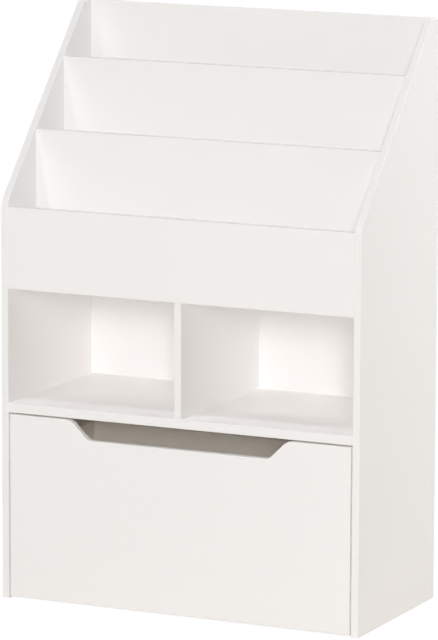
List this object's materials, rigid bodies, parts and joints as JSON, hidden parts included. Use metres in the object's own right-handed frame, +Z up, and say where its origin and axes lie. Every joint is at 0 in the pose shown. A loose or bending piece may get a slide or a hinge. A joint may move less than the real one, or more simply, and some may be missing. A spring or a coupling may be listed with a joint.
{
  "type": "children's book rack with cubbies and a rolling drawer",
  "caption": "Free-standing white rack with sloping sides, stepped book pockets, open cubbies and a wide drawer that rolls on the floor.",
  "frame": {"origin": "on the floor, under the middle of the footprint", "axes": "+Z up, +X to the right as seen from the front, +Y to the back; the drawer opens along -Y"},
  "size_m": [0.615, 0.3, 0.925],
  "materials": {
    "white_board": "satin white lacquer on fibreboard",
    "zinc_steel": "zinc plated",
    "bracket_steel": "zinc plated pressed sheet",
    "cam_alloy": "die-cast zinc, matt",
    "beech": "bare beech",
    "wheel_plastic": "moulded, matt"
  },
  "bodies": {
    "case": {"left_side_panel": "white_board", "right_side_panel": "white_board", "cubby_floor": "white_board", "cubby_divider": "white_board", "rack_base": "white_board", "front_rack_panel": "white_board", "middle_rack_panel": "white_board", "rear_rack_panel": "white_board", "middle_pocket_floor": "white_board", "rear_pocket_floor": "white_board", "upper_back_panel": "white_board", "lower_back_panel": "white_board", "case_cam_bolts": "zinc_steel", "case_cam_locks": "cam_alloy", "case_dowels": "beech", "case_screws": "zinc_steel"},
    "drawer": {"drawer_front": "white_board", "drawer_left_side": "white_board", "drawer_right_side": "white_board", "drawer_back": "white_board", "drawer_bottom": "white_board", "drawer_cam_bolts": "zinc_steel", "drawer_cam_locks": "cam_alloy", "drawer_dowels": "beech", "drawer_screws": "zinc_steel", "front_left_caster_bracket": "bracket_steel", "front_right_caster_bracket": "bracket_steel", "rear_left_caster_bracket": "bracket_steel", "rear_right_caster_bracket": "bracket_steel", "front_left_caster_axle": "zinc_steel", "front_right_caster_axle": "zinc_steel", "rear_left_caster_axle": "zinc_steel", "rear_right_caster_axle": "zinc_steel", "caster_screws": "zinc_steel"},
    "front_left_wheel": {"front_left_wheel": "wheel_plastic"},
    "front_right_wheel": {"front_right_wheel": "wheel_plastic"},
    "rear_left_wheel": {"rear_left_wheel": "wheel_plastic"},
    "rear_right_wheel": {"rear_right_wheel": "wheel_plastic"}
  },
  "joints": [
    {"name": "drawer_slide", "type": "slide", "parent": "case", "child": "drawer", "axis": [0, -1, 0], "range_m": [0, 0.3]},
    {"name": "front_left_wheel_spin", "type": "hinge", "parent": "drawer", "child": "front_left_wheel", "pos_m": [-0.22, -0.093, 0.018], "axis": [1, 0, 0], "continuous": true},
    {"name": "front_right_wheel_spin", "type": "hinge", "parent": "drawer", "child": "front_right_wheel", "pos_m": [0.22, -0.093, 0.018], "axis": [1, 0, 0], "continuous": true},
    {"name": "rear_left_wheel_spin", "type": "hinge", "parent": "drawer", "child": "rear_left_wheel", "pos_m": [-0.22, 0.073, 0.018], "axis": [1, 0, 0], "continuous": true},
    {"name": "rear_right_wheel_spin", "type": "hinge", "parent": "drawer", "child": "rear_right_wheel", "pos_m": [0.22, 0.073, 0.018], "axis": [1, 0, 0], "continuous": true}
  ],
  "couplings": [
    {"joint": "front_left_wheel_spin", "follows": "drawer_slide", "rad_per_m": 55.556},
    {"joint": "front_right_wheel_spin", "follows": "drawer_slide", "rad_per_m": 55.556},
    {"joint": "rear_left_wheel_spin", "follows": "drawer_slide", "rad_per_m": 55.556},
    {"joint": "rear_right_wheel_spin", "follows": "drawer_slide", "rad_per_m": 55.556}
  ]
}
